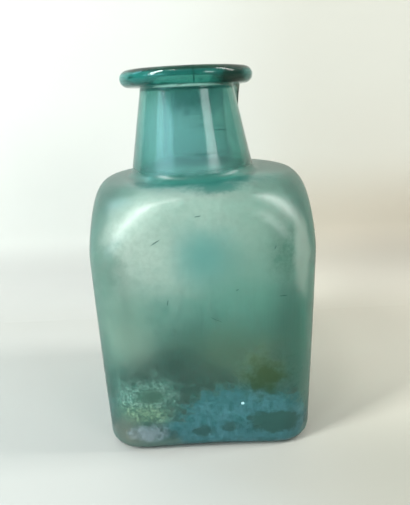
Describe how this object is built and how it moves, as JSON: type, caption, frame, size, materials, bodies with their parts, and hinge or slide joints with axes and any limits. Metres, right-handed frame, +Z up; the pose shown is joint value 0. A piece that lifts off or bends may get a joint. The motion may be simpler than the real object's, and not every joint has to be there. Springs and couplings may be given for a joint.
{
  "type": "square glass bottle",
  "caption": "Square blown glass bottle with rounded shoulders, short conical neck, rolled rim and a broad reeded strap handle, weathered and empty.",
  "frame": {"origin": "middle of the underside, on the surface that the bottle stands on", "axes": "+Z up along the bottle's height; the front faces -Y and the handle stands at +Y"},
  "size_m": [0.087, 0.087, 0.1494],
  "materials": {
    "body_glass": "blue-green blown glass, dulled and stained by burial, with milky and rusty patches inside the foot",
    "handle_glass": "thicker blue-green glass, combed into reeds, glossy"
  },
  "bodies": {
    "root": {"vessel": "body_glass", "handle": "handle_glass"}
  },
  "joints": []
}
